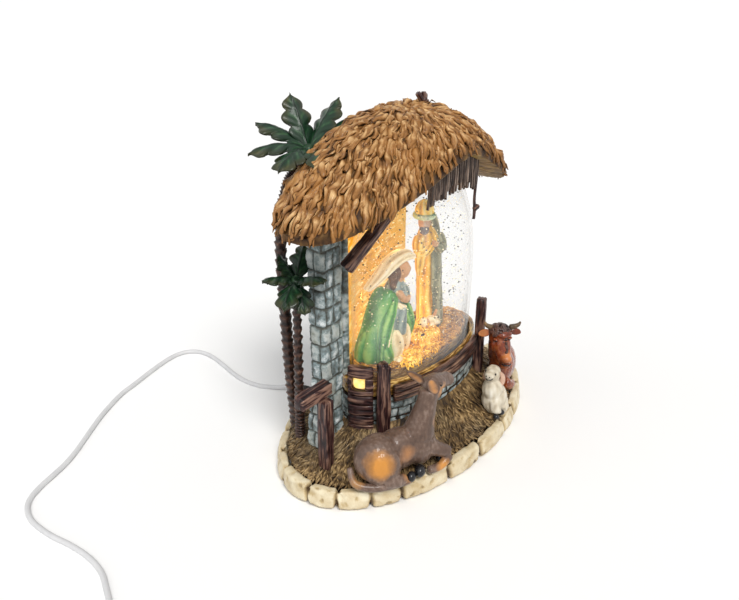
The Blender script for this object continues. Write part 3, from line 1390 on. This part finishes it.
def coil_points():
    """The wound cord: in along the lower layer, up in the half turn where it reverses, out along the upper."""
    points = []
    half = COIL_TURNS_PER_LAYER
    steps = round(2 * half * COIL_POINTS_PER_TURN)
    for i in range(steps + 1):
        turn = i / COIL_POINTS_PER_TURN - half
        radius = COIL_INNER_RADIUS + COIL_PITCH * abs(turn)
        rise = min(1.0, max(0.0, 2 * turn + 0.5))
        height = CORD_DIAMETER / 2 + COIL_LAYER * rise * rise * (3 - 2 * rise)
        angle = math.radians(COIL_START) + 2 * math.pi * (turn + half)
        points.append(Vector((COIL_X + radius * math.cos(angle), COIL_Y + radius * math.sin(angle), height)))
    return points


def least_gap(points):
    """The least distance between the surfaces of turns of the coil."""
    apart = COIL_POINTS_PER_TURN // 3
    nearest = min(
        (a - b).length for i, a in enumerate(points) for b in points[i + apart:]
    )
    return nearest - CORD_DIAMETER


def tail_points(points):
    """The wound cord's end: off the upper layer and down to the floor beside the coil."""
    last = points[-1]
    along = (last - points[-2]).normalized()
    along.z = 0.0
    outward = Vector((last.x - COIL_X, last.y - COIL_Y, 0)).normalized()
    floor = CORD_DIAMETER / 2
    tail = []
    for step, (ahead, aside, share) in enumerate(
        ((0.008, 0.0010, 0.95), (0.017, 0.0035, 0.55), (0.026, 0.0065, 0.12), (0.033, 0.0088, 0.0), (0.038, 0.0104, 0.0), (0.043, 0.0120, 0.0))
    ):
        point = last + along * ahead + outward * aside
        point.z = floor + (last.z - floor) * share
        tail.append(point)
    return tail


def cord_parts():
    """Gland with strain relief, the free cord, its coil and the plug."""
    tip = relief_tip_y()
    inner_y = gland_face_y() - BORDER_WIDTH - GROUND_WALL - 0.0040
    face_y = gland_face_y() + GLAND_REACH
    gland = bar("cord_gland", (GLAND_X, inner_y, GLAND_Z), (GLAND_X, face_y, GLAND_Z), GLAND_RADIUS, GLAND_RADIUS, RUBBER)
    relief = bar(
        "relief", (GLAND_X, face_y - 0.001, GLAND_Z), (GLAND_X, tip, GLAND_Z), RELIEF_RADIUS, RELIEF_TIP_RADIUS, RUBBER, 16
    )
    join(gland, relief)
    exit_point = Vector((GLAND_X, tip + GAP, GLAND_Z))
    straight = exit_point + Vector((0, CORD_DIAMETER, 0))
    wound = coil_points()
    first = wound[0]
    backward = (first - wound[1]).normalized()
    lead = [first + backward * CORD_DIAMETER]
    free_end = lead[0] + backward * GAP
    route = [Vector(p) for p in CORD_ROUTE]
    approach = [free_end + backward * 0.014, free_end + backward * CORD_DIAMETER, free_end]
    smooth_points = smooth_route([exit_point, straight] + route + approach, 2.6 * CORD_DIAMETER)
    tube("cord", smooth_points, 2)
    coil_path = lead + wound + tail_points(wound)
    tube("cord_coil", coil_path, 1)
    print(f"free cord {path_length(smooth_points):.3f} m, {len(smooth_points)} points")
    print(f"wound cord {path_length(coil_path):.3f} m, {len(coil_path)} points")
    print(f"least gap between turns {least_gap(wound) * 1000:.2f} mm")
    end, before = coil_path[-1], coil_path[-2]
    heading = (end - before).normalized()
    turn = math.atan2(heading.y, heading.x)
    grip_start = end + heading * GAP
    middle = grip_start + heading * (PLUG_LENGTH / 2)
    plug = box("usb_plug", (PLUG_LENGTH, PLUG_WIDTH, PLUG_HEIGHT), (middle.x, middle.y, PLUG_HEIGHT / 2), BLACK, turn)
    tip_middle = grip_start + heading * (PLUG_LENGTH + PLUG_TIP_LENGTH / 2 - 0.001)
    tongue = box(
        "tongue", (PLUG_TIP_LENGTH + 0.002, 0.0120, 0.0045), (tip_middle.x, tip_middle.y, PLUG_HEIGHT / 2), BLACK, turn
    )
    join(plug, tongue)


def gland_passage():
    """The hole for the gland through the border and the ground's wall."""
    low_y = gland_face_y() - BORDER_WIDTH - 3 * GROUND_WALL
    return bar(
        "passage", (GLAND_X, low_y, GLAND_Z), (GLAND_X, BASE_DEPTH, GLAND_Z),
        GLAND_RADIUS + GAP, GLAND_RADIUS + GAP, None,
    )


def main():
    """Builds every piece."""
    border = border_stones()
    casting = ground_casting()
    passage = gland_passage()
    cut(border, passage, keep=True)
    cut(casting, passage, keep=True)
    cover_plate()
    battery_parts()
    switch_parts()
    board_parts()
    feet_and_screws()
    tank_parts()
    drive_parts()
    lamp_parts()
    sill_ring()
    ground = ground_cutter()
    roof = roof_cutter()
    timber_parts(ground)
    stone_parts(ground, roof)
    thatch_roof()
    gable_planks(roof)
    roof_details(roof)
    palms(ground, roof)
    donkey(ground)
    sheep(ground)
    ox(ground)
    figures()
    cord_parts()


main()
